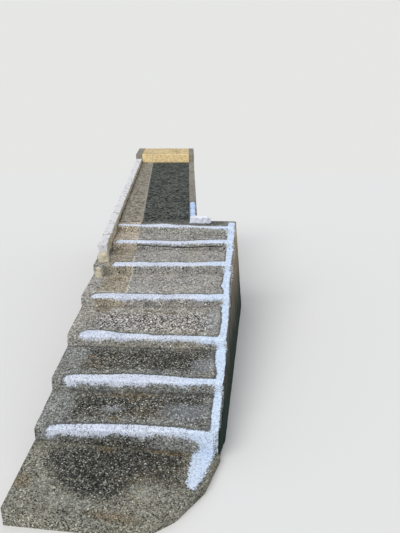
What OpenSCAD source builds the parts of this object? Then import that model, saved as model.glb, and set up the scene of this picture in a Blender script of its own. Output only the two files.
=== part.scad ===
// Outdoor steps of poured concrete: seven low steps with sloping treads, a landing,
// a sloping walk that carries on up to one upper step, a battered retaining face on
// the right, a straight wall on the left with a row of kerb stones, and a foot apron.
// Millimetres, +Z up, +Y up the flight, +X to the right of someone climbing.

/* [Flight] */
// overall width at the lowest nosing, right edge to left edge
foot_w = 880; // [840:10:980]
// nosing 1 to nosing 2, along the right edge
run_1 = 281; // [260:1:300]
// nosing 2 to nosing 3, along the right edge
run_2 = 337; // [320:1:360]
// nosing 3 to nosing 4, along the right edge
run_3 = 455; // [430:1:480]
// nosing 4 to nosing 5, along the right edge
run_4 = 467; // [440:1:490]
// nosing 5 to nosing 6, along the right edge
run_5 = 362; // [340:1:390]
// nosing 6 to nosing 7, along the right edge
run_6 = 196; // [190:1:230]
// depth of the landing behind nosing 7, along the right edge
landing_depth = 227; // [220:1:260]
// rise of the lowest nosing above the ground at its right end
first_rise = 140; // [120:1:160]
// height of each other riser above the back of the tread below it
riser_drop = 75; // [60:1:90]
// slope of the treads, rising towards the back (rise over run)
tread_slope = 0.12; // [0.08:0.01:0.14]
// thickness of the concrete poured for one tread
tread_t = 115; // [105:1:130]
// radius of the worn nosings
nosing_r = 12; // [6:1:16]

/* [Skew of the nosings] */
// turn of nosing 1, left end towards the foot (degrees)
skew_1 = 4.6; // [3.5:0.1:5.5]
// turn of nosing 2 (degrees)
skew_2 = 3.1; // [2:0.1:4]
// turn of nosing 3 (degrees)
skew_3 = 2.7; // [2:0.1:4]
// turn of nosing 4 (degrees)
skew_4 = 5.8; // [4.5:0.1:6.5]
// turn of nosing 5 (degrees)
skew_5 = 6.9; // [5.5:0.1:7.5]
// turn of nosing 6 (degrees)
skew_6 = 5.2; // [4:0.1:6]
// turn of nosing 7 (degrees)
skew_7 = -1.4; // [-2:0.1:0]

/* [Walls] */
// thickness of the right flank wall at its top
flank_t = 100; // [80:5:120]
// outward batter of the flank face (run over rise)
flank_batter = 0.09; // [0.06:0.01:0.12]
// radius of the flank wall's front corner
corner_r = 35; // [20:5:45]
// thickness of the left wall
left_t = 100; // [90:5:130]
// thickness of the wall under the right edge of the walk
walk_right_t = 80; // [75:5:120]
// thickness of the walls that close the landing and the rear
end_t = 100; // [80:5:140]

/* [Foot apron] */
// depth of the flat underside below the paved ground at the right
base_t = 40; // [30:1:45]
// thickness of the apron at its right edge, down to the base
apron_t = 46; // [46:1:60]
// depth of the apron in front of the lowest nosing
apron_d = 480; // [420:10:540]
// how far the apron's right edge leans in at its front corner
apron_cut = 300; // [240:10:360]
// rise of the apron towards the left (degrees)
apron_cross = 4.2; // [3:0.1:5.5]
// rise of the apron towards the steps (degrees)
apron_pitch = 2.2; // [0:0.1:2.8]

/* [Sloping walk] */
// width of the walk
walk_w = 724; // [700:4:780]
// turn of the walk and of the whole left edge, to the left (degrees)
walk_turn = 8; // [6.5:0.5:9]
// length of the walk up to the upper riser
walk_len = 2360; // [2200:20:2600]
// slope of the walk (rise over run)
walk_slope = 0.24; // [0.2:0.01:0.28]
// thickness of the walk's slab
walk_t = 80; // [70:5:100]
// height of the upper riser
upper_rise = 120; // [90:5:130]
// depth of the upper tread
upper_depth = 500; // [400:10:600]
// slope of the upper tread
upper_slope = 0.2; // [0.12:0.01:0.24]

/* [Side strip] */
// distance of the strip's seam from the right edge at nosing 4
seam_foot = 800; // [760:5:840]
// width of the strip where the walk begins
strip_w = 230; // [200:5:300]
// width of the strip at the top of the walk
strip_top_w = 160; // [110:5:180]

/* [Kerb stones] */
// width of a kerb stone
kerb_w = 96; // [80:2:98]
// height of the kerb above the walk
kerb_rise = 60; // [40:5:90]
// depth of the kerb set below the walk's surface
kerb_set = 55; // [40:5:60]
// length of one kerb stone with its joint
kerb_len = 480; // [460:5:510]
// number of kerb stones
kerb_count = 6; // [6:1:6]
// how far the kerb starts below the head of the landing
kerb_lead = 650; // [600:10:700]
// open joint between two kerb stones
kerb_joint = 8; // [4:1:12]
// rounding radius of the kerb's upper edges
kerb_r = 18; // [10:1:25]
// height of the kerb at the wall corner
toe_h = 76; // [60:2:90]
// length of its front leg
toe_len = 240; // [200:10:270]
// width of its front leg
toe_front = 110; // [90:5:120]
// width of its side leg
toe_w = 74; // [60:1:74]
// length of its side leg
toe_back = 450; // [350:10:550]
// rounding radius of its upper edges
toe_r = 26; // [16:1:28]
// length of the larger loose edge stone
stone_l = 106; // [90:2:116]
// height of the larger loose edge stone
stone_h = 106; // [90:2:120]
// width of the larger loose edge stone
stone_w = 124; // [110:2:134]
// how far the larger edge stone is set in from the middle of the wall
stone_in = 24; // [14:1:34]
// clear gap between the kerb's lower end and the larger edge stone
stone_gap = 24; // [18:1:30]
// clear gap between the smaller edge stone and the riser behind it
stone_2_gap = 14; // [12:1:24]

/* [Hidden] */
$fn = 48;
nose_y = [0, run_1, run_1 + run_2, run_1 + run_2 + run_3, run_1 + run_2 + run_3 + run_4,
    run_1 + run_2 + run_3 + run_4 + run_5, run_1 + run_2 + run_3 + run_4 + run_5 + run_6];
skew = [skew_1, skew_2, skew_3, skew_4, skew_5, skew_6, skew_7];
function edge_x(y) = -foot_w - y * tan(walk_turn);
function mid_y(k) = nose_y[k] + edge_x(nose_y[k]) / 2 * tan(skew[k]);
function level(k) = k == 0 ? base_t + first_rise
    : level(k - 1) + tread_slope * (mid_y(k) - mid_y(k - 1)) + riser_drop;
// point where the walk's right edge leaves the landing
head_y = nose_y[6] + landing_depth;
head_x = edge_x(head_y - walk_w * sin(walk_turn)) + walk_w * cos(walk_turn);
// the walk's left corner on the landing and the foot of the strip's seam there
left_x = head_x - walk_w * cos(walk_turn);
left_y = head_y - walk_w * sin(walk_turn);
seam_x = left_x + strip_w * cos(walk_turn);
seam_y = left_y + strip_w * sin(walk_turn);
function seam_at(y) = -seam_foot + (seam_x + seam_foot) * (y - nose_y[3]) / (seam_y - nose_y[3]);
// level of the walk where it leaves the landing
head_mid_x = (head_x + left_x) / 2;
head_mid_y = (head_y + left_y) / 2;
head_z = level(6) + tread_slope * (head_mid_y - nose_y[6] - head_mid_x * tan(skew[6]));
walk_end_z = head_z + walk_slope * walk_len;
upper_z = walk_end_z + upper_rise;
total_len = walk_len + upper_depth;
// level of tread k's surface over a point of the plan
function on_tread(k, x, y) = level(k)
    + tread_slope * ((y - nose_y[k]) * cos(skew[k]) - x * sin(skew[k]));
// reach past every face that a cut goes through
far = total_len + head_y;
// nosing 5 where it meets the middle of the left wall, and the smaller edge stone before it
wall_mid = walk_w + left_t / 2;
nose_5_v = ((nose_y[4] - head_y) * cos(skew[4]) + head_x * sin(skew[4])
    + wall_mid * sin(walk_turn - skew[4])) / cos(walk_turn - skew[4]);
stone_2_l = stone_l * 0.8;
stone_2_v = nose_5_v - stone_2_gap - stone_2_l / 2;
// line of the nosings, for the flank's batter
pitch = atan((level(6) - level(0)) / nose_y[6]);
batter_a = atan(flank_batter);
flank_foot = flank_batter * (cos(pitch) * level(0) + sin(pitch) * head_y);
left_out = left_t / cos(walk_turn);
// middle of the whole footprint
min_x = head_x - (walk_w + left_t) * cos(walk_turn) - total_len * sin(walk_turn);
max_y = head_y + walk_right_t * sin(walk_turn) + total_len * cos(walk_turn);
mid_x0 = (min_x + flank_foot) / 2;
mid_y0 = (max_y - apron_d) / 2;

concrete = [0.56, 0.53, 0.48];
worn = [0.50, 0.48, 0.44];
pale = [0.66, 0.62, 0.55];
dark = [0.30, 0.31, 0.33];
wall_grey = [0.38, 0.35, 0.31];
painted = [0.88, 0.90, 0.93];
beige = [0.70, 0.62, 0.48];

// moves the flight's own corner to the middle of the footprint
module set_out() {
    translate([-mid_x0, -mid_y0, 0])
        children();
}

// the walk's own frame: right edge on x = 0, start on y = 0
module at_walk() {
    translate([head_x, head_y, 0])
        rotate([0, 0, walk_turn])
            children();
}

// a profile in y and z, drawn across from x = xa to x = xb
module across(xa, xb) {
    translate([xa, 0, 0])
        rotate([90, 0, 90])
            linear_extrude(height = xb - xa)
                children();
}

// one sloping tread with its riser at y = 0, its nosing rounded
module tread_profile(z, slope, bed, depth, r) {
    a = atan(slope);
    zc = z + slope * r - r * sqrt(1 + slope * slope);
    difference() {
        polygon([[0, bed], [0, z], [depth, z + slope * depth], [depth, bed]]);
        difference() {
            polygon([[-r, zc], [-r, z + r], [r - r * sin(a), z + r], [r - r * sin(a), zc + r * cos(a)],
                [r, zc]]);
            translate([r, zc])
                circle(r = r);
        }
    }
}

// everything under tread k, seen along its own nosing
module tread_mass(k, bed) {
    translate([0, nose_y[k], 0])
        rotate([0, 0, skew[k]])
            across(-far, far)
                tread_profile(level(k), tread_slope, bed, far, nosing_r);
}

// all the treads down to the base; each riser stands clear above the tread below it
module flight_mass() {
    union()
        for (k = [0 : 6])
            tread_mass(k, 0);
}

// the side of nosing k towards the foot
module before(k) {
    translate([0, nose_y[k], -far])
        rotate([0, 0, skew[k]])
            translate([-far, -far, 0])
                cube([2 * far, far, 2 * far]);
}

// plan of the treads, between the flank wall and the left wall
module plan_treads() {
    polygon([[-flank_t, -foot_w], [-flank_t, head_y], [head_x, head_y], [left_x, left_y],
        [edge_x(-foot_w), -foot_w]]);
}

// plan to the left of the strip's seam
module plan_seam() {
    polygon([[-far, 0], [seam_at(0), 0], [seam_at(far), far], [-far, far]]);
}

// plan of the wall that closes the landing behind
module plan_end_wall() {
    translate([head_x, head_y - end_t])
        square([-flank_t - head_x, end_t]);
}

module upright(h) {
    linear_extrude(height = h)
        children();
}

function bed(k) = k == 0 ? 0 : level(k) - tread_t;

module tread_block(k) {
    intersection() {
        tread_mass(k, bed(k));
        if (k < 6)
            before(k + 1);
        upright(far)
            plan_treads();
    }
}

module tread_right(k) {
    difference() {
        tread_block(k);
        translate([0, 0, -far / 2])
            upright(2 * far)
                plan_seam();
    }
}

module tread_left(k) {
    intersection() {
        tread_block(k);
        upright(far)
            plan_seam();
    }
}

module foot_apron() {
    color(worn)
        set_out()
            intersection() {
                translate([0, 0, apron_t])
                    rotate([apron_pitch, 0, 0])
                        rotate([0, apron_cross, 0])
                            translate([-far, -far, -far])
                                cube([2 * far, 2 * far, far]);
                before(0);
                upright(far)
                    polygon([[0, apron_d], [0, 0], [-apron_cut * 0.2, -apron_d * 0.45],
                        [-apron_cut * 0.58, -apron_d * 0.8], [-apron_cut, -apron_d],
                        [edge_x(-apron_d) - left_out, -apron_d],
                        [edge_x(apron_d) - left_out, apron_d]]);
            }
}

module step_1() {
    color(worn)
        set_out()
            tread_block(0);
}

module step_2() {
    color(worn)
        set_out()
            tread_block(1);
}

module step_3() {
    color(worn)
        set_out()
            tread_block(2);
}

module step_4() {
    color(concrete)
        set_out()
            tread_right(3);
}

module step_5() {
    color(concrete)
        set_out()
            tread_right(4);
}

module step_6() {
    color(concrete)
        set_out()
            tread_right(5);
}

module landing() {
    color(concrete)
        set_out()
            tread_right(6);
}

module side_strip_4() {
    color(pale)
        set_out()
            tread_left(3);
}

module side_strip_5() {
    color(pale)
        set_out()
            tread_left(4);
}

module side_strip_6() {
    color(pale)
        set_out()
            tread_left(5);
}

module landing_strip() {
    color(pale)
        set_out()
            tread_left(6);
}

// plan of the flank wall, its front corner rounded where it meets the lowest riser
module plan_flank() {
    union() {
        translate([-flank_t, corner_r])
            square([2 * flank_t, head_y - corner_r]);
        translate([-flank_t, -corner_r])
            square([flank_t - corner_r, 3 * corner_r]);
        translate([-corner_r, corner_r])
            circle(r = corner_r);
    }
}

// the right retaining wall: its top steps with the treads, its face leans out to the foot
module flank_wall() {
    color(wall_grey)
        set_out()
            intersection() {
                flight_mass();
                translate([0, 0, level(0)])
                    rotate([pitch, 0, 0])
                        rotate([0, -batter_a, 0])
                            translate([-far, -far, -far])
                                cube([far, 3 * far, 2 * far]);
                upright(far)
                    plan_flank();
            }
}

// the walk's line carried down over the landing, to bed the kerb on the left wall
module kerb_bed_profile() {
    start = head_z - walk_slope * kerb_lead - kerb_set;
    polygon([[-kerb_lead - kerb_w, 0], [0, 0], [0, head_z - kerb_set], [-kerb_lead, start],
        [-kerb_lead, level(0)], [-kerb_lead - kerb_w, level(0)]]);
}

module left_wall() {
    color(wall_grey)
        set_out()
            union() {
                intersection() {
                    flight_mass();
                    at_walk()
                        translate([-walk_w - left_t, -far, 0])
                            cube([left_t, far - kerb_lead, far]);
                }
                at_walk()
                    across(-walk_w - left_t, -walk_w)
                        kerb_bed_profile();
            }
}

module landing_end_wall() {
    color(wall_grey)
        set_out()
            upright(bed(6))
                plan_end_wall();
}

// rubble concrete under the treads, stepped up behind each nosing to the bed of its tread
module fill_core() {
    color(worn)
        set_out()
            difference() {
                intersection() {
                    union()
                        for (k = [1 : 6])
                            translate([0, nose_y[k], 0])
                                rotate([0, 0, skew[k]])
                                    translate([-far, 0, 0])
                                        cube([2 * far, far, bed(k)]);
                    upright(far)
                        plan_treads();
                }
                translate([0, 0, -far / 2])
                    upright(2 * far)
                        plan_end_wall();
            }
}

// profile of the walk between two lines set below its surface
module walk_profile(drop, low) {
    polygon([[0, head_z - low], [0, head_z - drop], [walk_len, walk_end_z - drop],
        [walk_len, walk_end_z - low]]);
}

// the walk's slab, trimmed to the strip on its left or to the rest
module plan_walk_strip() {
    polygon([[-far, 0], [-walk_w + strip_w, 0], [-walk_w + strip_top_w, walk_len],
        [-walk_w + strip_top_w, far], [-far, far]]);
}

module walk_body() {
    across(-walk_w, 0)
        walk_profile(0, walk_t);
}

module upper_body() {
    translate([0, walk_len, 0])
        across(-walk_w, 0)
            tread_profile(upper_z, upper_slope, walk_end_z - walk_t, upper_depth, nosing_r);
}

module walk_slab() {
    color(dark)
        set_out()
            at_walk()
                difference() {
                    walk_body();
                    translate([0, 0, -far / 2])
                        upright(2 * far)
                            plan_walk_strip();
                }
}

module walk_strip() {
    color(pale)
        set_out()
            at_walk()
                intersection() {
                    walk_body();
                    upright(far)
                        plan_walk_strip();
                }
}

module upper_step() {
    color(concrete)
        set_out()
            at_walk()
                difference() {
                    upper_body();
                    translate([0, 0, -far / 2])
                        upright(2 * far)
                            plan_walk_strip();
                }
}

module upper_strip() {
    color(pale)
        set_out()
            at_walk()
                intersection() {
                    upper_body();
                    upright(far)
                        plan_walk_strip();
                }
}

// a wall beside the walk, its top parallel to the walk and level under the upper tread
module wall_profile(y0, drop) {
    polygon([[y0, 0], [total_len, 0], [total_len, walk_end_z - drop], [walk_len, walk_end_z - drop],
        [y0, head_z + y0 * walk_slope - drop]]);
}

// the left wall goes on beside the walk, its top set low to carry the kerb
module walk_left_wall() {
    color(wall_grey)
        set_out()
            at_walk()
                union() {
                    across(-walk_w - left_t, -walk_w)
                        wall_profile(0, kerb_set);
                    translate([0, walk_len, 0])
                        across(-walk_w - left_t, -walk_w)
                            tread_profile(upper_z, upper_slope, 0, upper_depth, nosing_r);
                }
}

module walk_right_wall() {
    color(wall_grey)
        set_out()
            at_walk()
                intersection() {
                    union() {
                        across(0, walk_right_t)
                            wall_profile(-walk_right_t, 0);
                        translate([0, walk_len, 0])
                            across(0, walk_right_t)
                                tread_profile(upper_z, upper_slope, 0, upper_depth, nosing_r);
                    }
                    upright(far)
                        polygon([[0, 0], [walk_right_t, -walk_right_t * tan(walk_turn)],
                            [walk_right_t, total_len], [0, total_len]]);
                }
}

module rear_wall() {
    color(wall_grey)
        set_out()
            at_walk()
                translate([-walk_w, total_len - end_t, 0])
                    cube([walk_w, end_t, walk_end_z - walk_t]);
}

module walk_fill() {
    color(worn)
        set_out()
            at_walk()
                across(-walk_w, 0)
                    polygon([[0, 0], [total_len - end_t, 0], [total_len - end_t, walk_end_z - walk_t],
                        [walk_len, walk_end_z - walk_t], [0, head_z - walk_t]]);
}

// kerb stones, one behind the other along the left edge
module kerb_stone(n) {
    y0 = -kerb_lead + n * kerb_len;
    y1 = n == kerb_count - 1 ? walk_len - kerb_joint : y0 + kerb_len - kerb_joint;
    edge = -walk_w - kerb_w;
    color(painted)
        set_out()
            at_walk()
                intersection() {
                    across(edge, -walk_w)
                        polygon([[y0, head_z + walk_slope * y0 - kerb_set],
                            [y1, head_z + walk_slope * y1 - kerb_set],
                            [y1, head_z + walk_slope * y1 + kerb_rise],
                            [y0, head_z + walk_slope * y0 + kerb_rise]]);
                    translate([0, 0, head_z])
                        rotate([atan(walk_slope), 0, 0])
                            kerb_bar(edge, kerb_w, kerb_rise * cos(atan(walk_slope)), kerb_r);
                }
}

// an endless bar along y from x = edge, flat on top, its two upper edges rounded
module kerb_bar(edge, wide, top, r) {
    translate([0, 2 * far, 0])
        rotate([90, 0, 0])
            linear_extrude(height = 4 * far)
                union() {
                    translate([edge, -far])
                        square([wide, far + top - r]);
                    translate([edge + r, -far])
                        square([wide - 2 * r, far + top]);
                    translate([edge + r, top - r])
                        circle(r = r);
                    translate([edge + wide - r, top - r])
                        circle(r = r);
                }
}

module kerb_stone_1() {
    kerb_stone(0);
}

module kerb_stone_2() {
    kerb_stone(1);
}

module kerb_stone_3() {
    kerb_stone(2);
}

module kerb_stone_4() {
    kerb_stone(3);
}

module kerb_stone_5() {
    kerb_stone(4);
}

module kerb_stone_6() {
    kerb_stone(5);
}

// a loose stone of length l, width w and height h on tread k, at u across and v along the walk
module edge_stone(k, u, v, l, w, h, turn) {
    x = head_x + u * cos(walk_turn) - v * sin(walk_turn);
    y = head_y + u * sin(walk_turn) + v * cos(walk_turn);
    color(beige)
        set_out()
            difference() {
                translate([x, y, on_tread(k, x, y)])
                    rotate([0, 0, walk_turn + turn])
                        intersection() {
                            translate([0, 0, -h])
                                upright(3 * h)
                                    stone_plan(l, w);
                            across(-w, w)
                                stone_side(l, h);
                            rotate([0, 0, 90])
                                across(-l, l)
                                    stone_front(w, h);
                        }
                tread_mass(k, 0);
            }
}

// outline of a loose stone from above
module stone_plan(l, w) {
    polygon([[-w * 0.5, -l * 0.2], [-w * 0.4, -l * 0.44], [w * 0.1, -l * 0.5], [w * 0.44, -l * 0.38],
        [w * 0.5, l * 0.1], [w * 0.38, l * 0.42], [-w * 0.1, l * 0.5], [-w * 0.46, l * 0.36]]);
}

// outline of a loose stone from its side, along y
module stone_side(l, h) {
    polygon([[-l * 0.5, -h], [-l * 0.5, h * 0.66], [-l * 0.32, h * 0.94], [l * 0.1, h],
        [l * 0.4, h * 0.86], [l * 0.5, h * 0.6], [l * 0.5, -h]]);
}

// outline of a loose stone from its front, its left side drawn on the right
module stone_front(w, h) {
    polygon([[-w * 0.5, -h], [-w * 0.5, h * 0.46], [-w * 0.3, h * 0.84], [w * 0.06, h],
        [w * 0.34, h * 0.82], [w * 0.5, h * 0.4], [w * 0.5, -h]]);
}

module edge_stone_1() {
    edge_stone(4, -walk_w - left_t / 2 + stone_in, -kerb_lead - stone_gap - stone_l / 2,
        stone_l, stone_w, stone_h, 4);
}

module edge_stone_2() {
    edge_stone(3, -walk_w - left_t / 2 + stone_in / 2, stone_2_v, stone_2_l, stone_w * 0.76,
        stone_h * 0.86, -5);
}

// kerb of mortar round the wall corner, its front leg on the landing
module corner_kerb_front() {
    color(painted)
        set_out()
            difference() {
                intersection() {
                    translate([0, head_y, on_tread(6, head_x, head_y - toe_front / 2)])
                        rotate([0, 0, 90])
                            kerb_bar(-toe_front, toe_front, toe_h, toe_r);
                    upright(far)
                        union() {
                            translate([head_x, head_y - toe_front])
                                square([toe_len - toe_front / 2, toe_front]);
                            translate([head_x + toe_len - toe_front / 2, head_y - toe_front / 2])
                                circle(d = toe_front);
                        }
                }
                tread_mass(6, 0);
            }
}

// and its side leg along the walk's right edge
module corner_kerb_side() {
    side_h = toe_h * 0.9;
    color(painted)
        set_out()
            at_walk()
                intersection() {
                    across(0, toe_w)
                        polygon([[-toe_w, head_z - toe_w * walk_slope],
                            [toe_back, head_z + toe_back * walk_slope],
                            [toe_back, head_z + toe_back * walk_slope + side_h],
                            [-toe_w, head_z - toe_w * walk_slope + side_h]]);
                    upright(far)
                        polygon([[0, 0], [toe_w, -toe_w * tan(walk_turn)], [toe_w, toe_back],
                            [0, toe_back]]);
                    translate([0, 0, head_z])
                        rotate([atan(walk_slope), 0, 0])
                            kerb_bar(0, toe_w, side_h * cos(atan(walk_slope)), toe_r);
                }
}

foot_apron();
step_1();
step_2();
step_3();
step_4();
step_5();
step_6();
landing();
side_strip_4();
side_strip_5();
side_strip_6();
landing_strip();
flank_wall();
left_wall();
landing_end_wall();
fill_core();
walk_slab();
walk_strip();
upper_step();
upper_strip();
walk_left_wall();
walk_right_wall();
rear_wall();
walk_fill();
kerb_stone_1();
kerb_stone_2();
kerb_stone_3();
kerb_stone_4();
kerb_stone_5();
kerb_stone_6();
edge_stone_1();
edge_stone_2();
corner_kerb_front();
corner_kerb_side();
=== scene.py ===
import math

import bmesh
import bpy
import numpy as np
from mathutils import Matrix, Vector, noise


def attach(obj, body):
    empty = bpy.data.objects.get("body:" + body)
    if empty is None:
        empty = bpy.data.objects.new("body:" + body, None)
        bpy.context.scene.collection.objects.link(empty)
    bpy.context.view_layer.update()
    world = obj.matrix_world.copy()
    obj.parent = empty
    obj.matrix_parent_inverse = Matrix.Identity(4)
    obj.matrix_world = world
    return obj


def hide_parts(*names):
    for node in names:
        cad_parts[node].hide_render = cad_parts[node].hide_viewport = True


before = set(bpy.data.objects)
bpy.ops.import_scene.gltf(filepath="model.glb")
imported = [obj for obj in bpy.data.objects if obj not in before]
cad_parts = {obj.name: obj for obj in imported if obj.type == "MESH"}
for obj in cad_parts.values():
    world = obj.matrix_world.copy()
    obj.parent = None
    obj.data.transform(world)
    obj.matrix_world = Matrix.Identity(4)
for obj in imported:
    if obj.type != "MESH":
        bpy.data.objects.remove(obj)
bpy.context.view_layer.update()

# Foot apron: a thin bed of concrete poured in front of the lowest riser. Rain has washed
# the cement off its middle, so dark gravel shows there, and a paler skin is left along
# its edges. The white band of the steps runs down onto it and ends in a blunt tip.

# right end of the lowest nosing, over the flat underside, and how steep every tread is
right_end = Vector((0.8037, -2.3442, 0.0))
tread_slope = 0.12
# each nosing: distance up the flight, turn in degrees, level above the underside
nosings = [(0.000, 4.6, 0.1800), (0.281, 3.1, 0.2900), (0.618, 2.7, 0.4057),
           (1.073, 5.8, 0.5317), (1.540, 6.9, 0.6610), (1.902, 5.2, 0.7812),
           (2.098, -1.4, 0.8879)]
# height of the lowest riser at its right end, where the band crosses its foot
first_riser = 0.127
# the walk and the whole left edge turn away to the left
left_turn = math.radians(8)
foot_width = 0.880
upward = Vector((0, 0, 1))
# a face is an underside when its normal's Z is less than this
underside = -0.3
# edges and faces smaller than this are taken out of a net
sliver = 0.0008


def linear(hex_colour):
    """An sRGB hex colour as the linear one that a socket takes."""
    shares = [int(hex_colour[i:i + 2], 16) / 255 for i in (1, 3, 5)]
    return [s / 12.92 if s <= 0.04045 else ((s + 0.055) / 1.055) ** 2.4 for s in shares] + [1]


def unfinished(name):
    """A new material, and its node tree with nothing in it yet."""
    material = bpy.data.materials.new(name)
    material.use_nodes = True
    material.node_tree.nodes.clear()
    return material, material.node_tree


def node(tree, kind, links=(), stops=(), **settings):
    """Adds one shader node. A link is a plain value, another node or one of its sockets."""
    made = tree.nodes.new("ShaderNode" + kind)
    for name, value in settings.items():
        setattr(made, name, value)
    for place, (position, colour) in enumerate(stops):
        ramp = made.color_ramp.elements
        stop = ramp[place] if place < len(ramp) else ramp.new(position)
        stop.position, stop.color = position, linear(colour)
    for name, value in dict(links).items():
        socket = made.inputs[name] if isinstance(name, int) else next(
            s for s in made.inputs if s.name == name and s.enabled)
        if isinstance(value, bpy.types.Node):
            value = next(s for s in value.outputs if s.enabled)
        if isinstance(value, bpy.types.NodeSocket):
            tree.links.new(value, socket)
        else:
            socket.default_value = linear(value) if isinstance(value, str) else value
    return made


def across(k):
    """Unit vectors along nosing k, to the right, and square to it, up the flight."""
    turn = math.radians(nosings[k][1])
    return Vector((math.cos(turn), math.sin(turn), 0)), Vector((-math.sin(turn), math.cos(turn), 0))


def behind(points, k):
    """How far points lie behind nosing k in plan, in metres."""
    start = right_end + Vector((0, nosings[k][0], 0))
    return (points - np.array(start)) @ np.array(across(k)[1])


def above(points, k):
    """How far points lie above the plane of tread k."""
    return points[:, 2] - nosings[k][2] - tread_slope * behind(points, k)


def inside(u, v, outline):
    """Distance inside a closed outline whose corners are in millimetres, negative outside."""
    corners = np.array(outline) / 1000
    spot = np.stack([u, v], axis=1)
    nearest = np.full(len(spot), 9.0)
    within = np.zeros(len(spot), bool)
    for a, b in zip(corners, np.roll(corners, -1, axis=0)):
        side = b - a
        share = np.clip((spot - a) @ side / (side @ side), 0, 1)
        nearest = np.minimum(nearest, np.linalg.norm(spot - a - share[:, None] * side, axis=1))
        crossed = (a[1] > spot[:, 1]) != (b[1] > spot[:, 1])
        lean = side[0] / side[1] if side[1] else 0
        within ^= crossed & (spot[:, 0] < a[0] + (spot[:, 1] - a[1]) * lean)
    return np.where(within, nearest, -nearest)


def spots(u, v, places):
    """1 in the middle of the nearest of several ovals, 0 on its rim, less outside."""
    marks = [1 - np.hypot((u - x / 1000) * 1000 / rx, (v - y / 1000) * 1000 / ry)
             for x, y, rx, ry in places]
    return np.clip(np.max(marks, axis=0), -1, 1) if marks else np.full(len(u), -1.0)


def sliced(name, shown, cuts):
    """A CAD node's mesh, its shown faces cut by planes into a net for wear and chips. Each
    cut is a direction and the distance from plane to plane."""
    bm = bmesh.new()
    bm.from_mesh(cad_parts[name].data)
    bmesh.ops.remove_doubles(bm, verts=bm.verts[:], dist=1e-5)
    bmesh.ops.dissolve_limit(bm, angle_limit=math.radians(1), verts=bm.verts[:],
                             edges=bm.edges[:])
    bm.normal_update()
    for face in bm.faces:
        face.smooth = shown(face.normal, face.calc_center_median())
    faces = [f for f in bm.faces if f.smooth]
    points = {v for f in faces for v in f.verts}
    geom = faces + list({e for f in faces for e in f.edges}) + list(points)
    for along, spacing in cuts:
        reach = [v.co.dot(along) / spacing for v in points]
        for k in range(math.floor(min(reach)), math.ceil(max(reach))):
            geom = bmesh.ops.bisect_plane(bm, geom=geom, dist=1e-5,
                                          plane_co=along * (k + 0.5) * spacing,
                                          plane_no=along)["geom"]
    bmesh.ops.dissolve_degenerate(bm, edges=bm.edges[:], dist=sliver)
    return bm


def sunk(point, rim, foot, swell, pit, chip, lumps):
    """How far rain and feet have taken the concrete below its cast face, in metres: broad
    hollows, pits of 7 mm, and chips along an arris, and nothing at the foot of a riser."""
    pits_a_metre, chips_a_metre, chip_reach, foot_reach = 150, 26, 0.016, 0.018
    hollow = 0.5 + 0.5 * noise.fractal(point * lumps, 1.0, 2.0, 3)
    grain = 0.5 + 0.5 * noise.noise(point * pits_a_metre)
    depth = swell * hollow + pit * grain * (0.6 + 0.8 * noise.noise(point * 21))
    near = math.exp(-(rim / chip_reach) ** 2)
    broken = max(0.0, noise.fractal(point * chips_a_metre, 0.8, 2.0, 3) - 0.12)
    depth += chip * near * (0.22 + 1.8 * broken)
    joint = min(1.0, max(0.0, foot / foot_reach))
    return max(0.0, depth) * joint


def laid(name, bm, finishes, marks=None, swell=0.003, pit=0.0012, chip=0.006, lumps=5):
    """Wears the net's shown faces inwards, and lays the piece in place of its CAD node. The
    worn hollows of depth swell are 1 / lumps metres wide. The marks are distances in metres
    and shares that the finishes read, one for each corner of each face."""
    crack_depth, sharp_from = 0.008, math.radians(55)
    mesh = bpy.data.meshes.new(name)
    bm.to_mesh(mesh)
    bm.free()
    count, faces = len(mesh.loops), len(mesh.polygons)
    co, facing, middle = np.empty(len(mesh.vertices) * 3), np.empty(faces * 3), np.empty(faces * 3)
    corner, sides, shown = np.empty(count, int), np.empty(faces, int), np.empty(faces, bool)
    area = np.empty(faces)
    mesh.vertices.foreach_get("co", co)
    mesh.loops.foreach_get("vertex_index", corner)
    mesh.polygons.foreach_get("normal", facing)
    mesh.polygons.foreach_get("center", middle)
    mesh.polygons.foreach_get("loop_total", sides)
    mesh.polygons.foreach_get("use_smooth", shown)
    mesh.polygons.foreach_get("area", area)
    co = co.reshape(-1, 3)
    face = np.repeat(np.arange(faces), sides)
    facing, middle, shown = facing.reshape(-1, 3)[face], middle.reshape(-1, 3)[face], shown[face]
    pull = facing * area[face][:, None]
    values = {"rim": np.full(count, 1.0), "foot": np.full(count, 1.0),
              "crack": np.full(count, -1.0)}
    if marks:
        values.update(marks(co[corner], facing, middle))
    for mark, numbers in values.items():
        mesh.attributes.new(mark, "FLOAT", "CORNER").data.foreach_set("value", numbers)
    inward, rim, foot = np.zeros_like(co), np.full(len(co), 1.0), np.full(len(co), 1.0)
    split = np.full(len(co), -1.0)
    np.maximum.at(split, corner[shown], values["crack"][shown])
    np.add.at(inward, corner[shown], -pull[shown])
    np.minimum.at(rim, corner[shown], values["rim"][shown])
    np.minimum.at(foot, corner[shown], values["foot"][shown])
    length = np.linalg.norm(inward, axis=1)
    for i in np.flatnonzero(length > 1e-9):
        depth = sunk(Vector(co[i]), rim[i], foot[i], swell, pit, chip, lumps)
        depth += crack_depth if split[i] > -0.001 else 0
        co[i] += inward[i] / length[i] * depth
    co[:, 2] = np.maximum(co[:, 2], 0)
    mesh.vertices.foreach_set("co", co.ravel())
    for finish in finishes:
        mesh.materials.append(finish)
    mesh.set_sharp_from_angle(angle=sharp_from)
    piece = bpy.data.objects.new(name, mesh)
    bpy.context.scene.collection.objects.link(piece)
    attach(piece, "root")
    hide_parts(name.removesuffix("_worn"))
    return piece


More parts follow.
